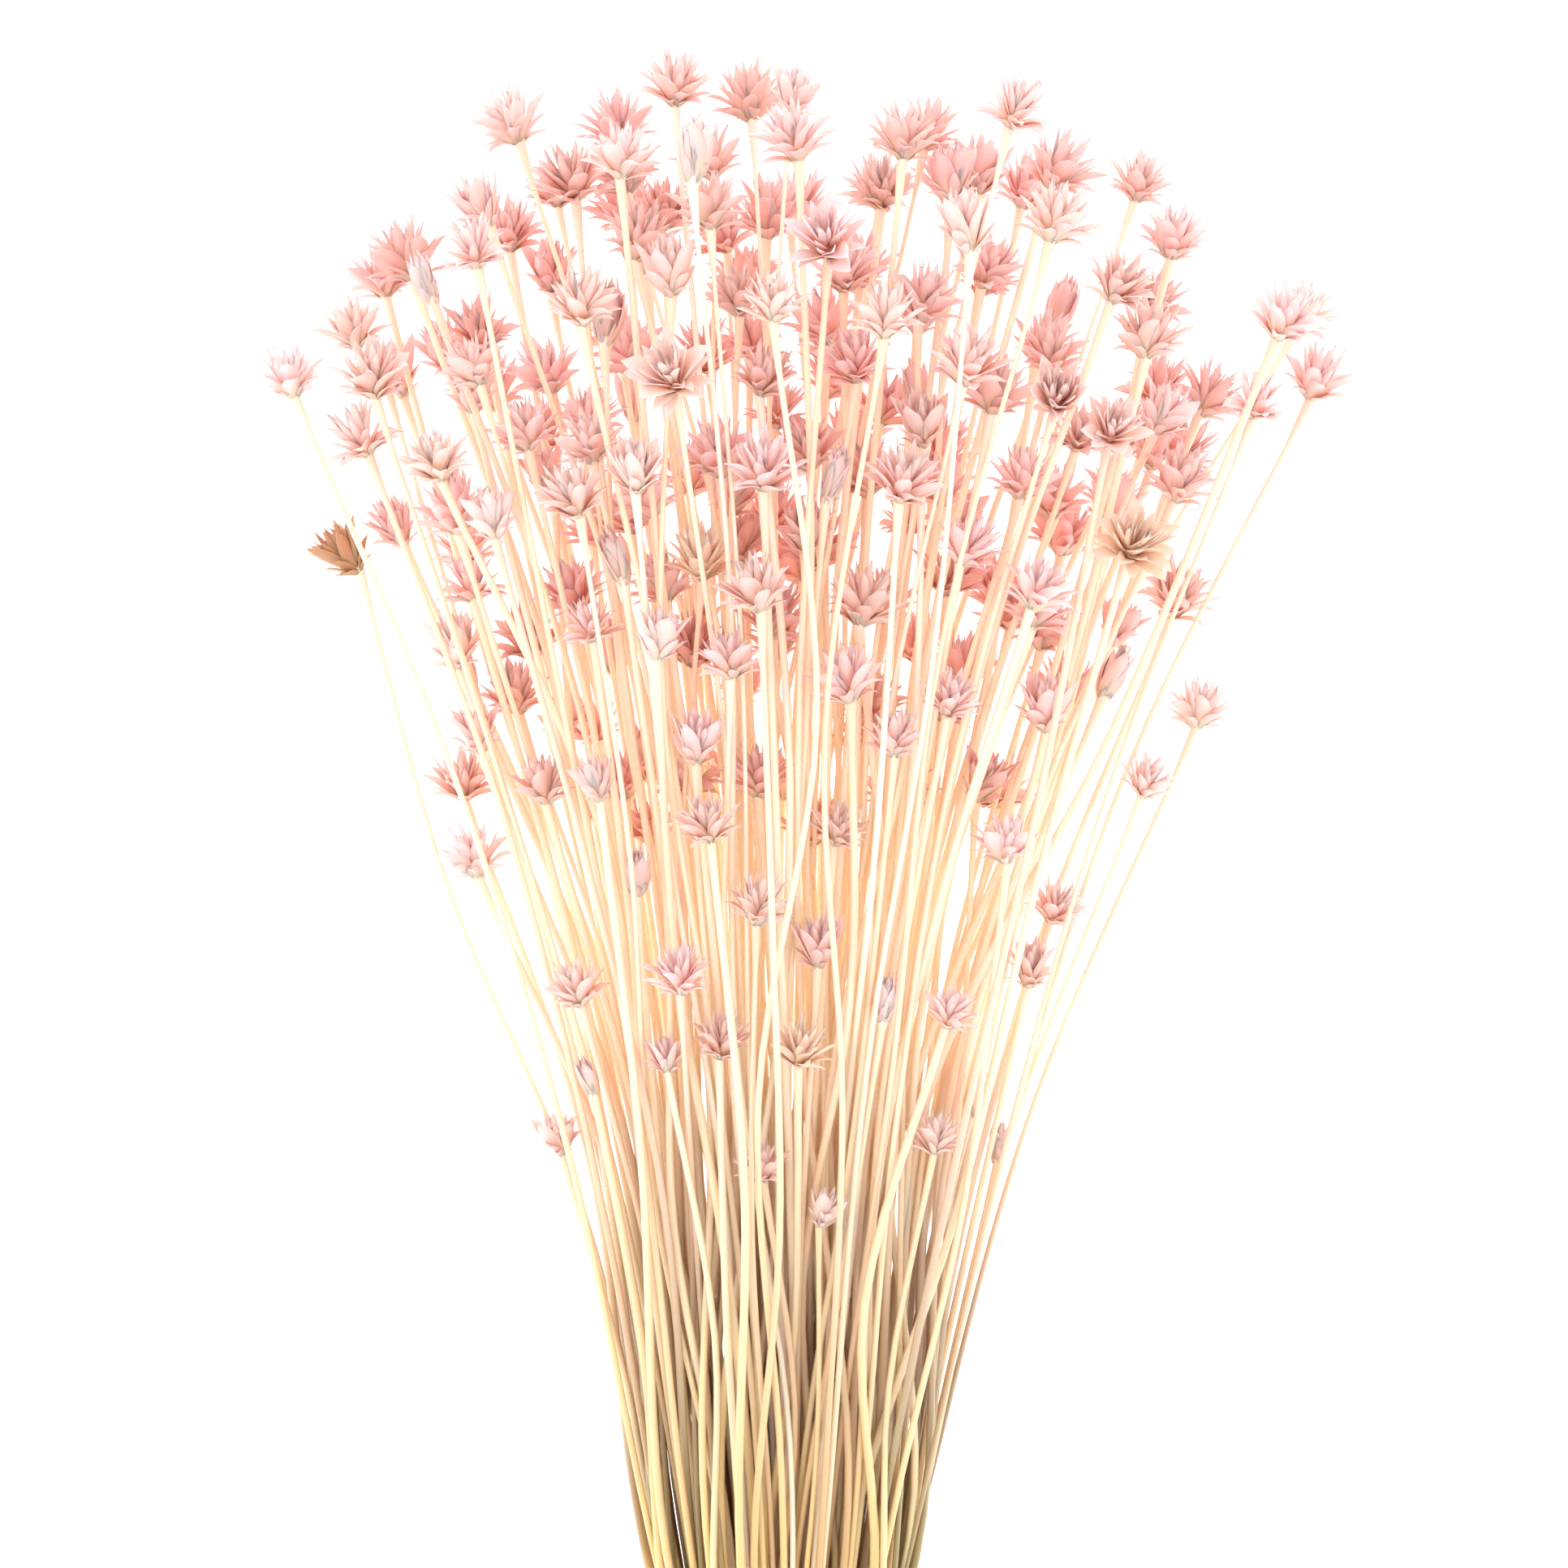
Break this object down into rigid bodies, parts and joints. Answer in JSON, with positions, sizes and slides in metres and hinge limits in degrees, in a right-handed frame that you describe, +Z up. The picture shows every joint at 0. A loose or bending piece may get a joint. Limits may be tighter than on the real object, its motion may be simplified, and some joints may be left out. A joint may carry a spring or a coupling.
{
  "type": "bunch of dried hill flowers",
  "caption": "Tied bunch of dried hill flowers on straw stems, fanned out from a twine tie and lying on its side.",
  "frame": {"origin": "under the middle of the tie, on the flat that the bunch rests on", "axes": "+X across the bunch, +Y along it towards the heads, +Z up from the surface that it lies on"},
  "size_m": [0.2843, 0.5548, 0.132],
  "materials": {
    "dried_flower": "dyed papery bracts, matte, paler at the bases and tips",
    "straw_stem": "bare dried straw with fine length-wise ribs, satin",
    "twine": "twisted natural fibre, matte"
  },
  "bodies": {
    "root": {"flowers_01": "dried_flower", "flowers_02": "dried_flower", "flowers_03": "dried_flower", "flowers_04": "dried_flower", "flowers_05": "dried_flower", "flowers_06": "dried_flower", "flowers_07": "dried_flower", "flowers_08": "dried_flower", "flowers_09": "dried_flower", "flowers_10": "dried_flower", "flowers_11": "dried_flower", "flowers_12": "dried_flower", "flowers_13": "dried_flower", "flowers_14": "dried_flower", "flowers_15": "dried_flower", "flowers_16": "dried_flower", "flowers_17": "dried_flower", "flowers_18": "dried_flower", "flowers_19": "dried_flower", "flowers_20": "dried_flower", "flowers_21": "dried_flower", "flowers_22": "dried_flower", "flowers_23": "dried_flower", "flowers_24": "dried_flower", "flowers_25": "dried_flower", "flowers_26": "dried_flower", "flowers_27": "dried_flower", "flowers_28": "dried_flower", "flowers_29": "dried_flower", "flowers_30": "dried_flower", "flowers_31": "dried_flower", "flowers_32": "dried_flower", "flowers_33": "dried_flower", "flowers_34": "dried_flower", "flowers_35": "dried_flower", "flowers_36": "dried_flower", "flowers_37": "dried_flower", "flowers_38": "dried_flower", "flowers_39": "dried_flower", "flowers_40": "dried_flower", "flowers_41": "dried_flower", "flowers_42": "dried_flower", "flowers_43": "dried_flower", "flowers_44": "dried_flower", "flowers_45": "dried_flower", "flowers_46": "dried_flower", "flowers_47": "dried_flower", "flowers_48": "dried_flower", "flowers_49": "dried_flower", "flowers_50": "dried_flower", "flowers_51": "dried_flower", "flowers_52": "dried_flower", "flowers_53": "dried_flower", "flowers_54": "dried_flower", "flowers_55": "dried_flower", "flowers_56": "dried_flower", "flowers_57": "dried_flower", "flowers_58": "dried_flower", "flowers_59": "dried_flower", "tie": "twine"}
  },
  "joints": []
}
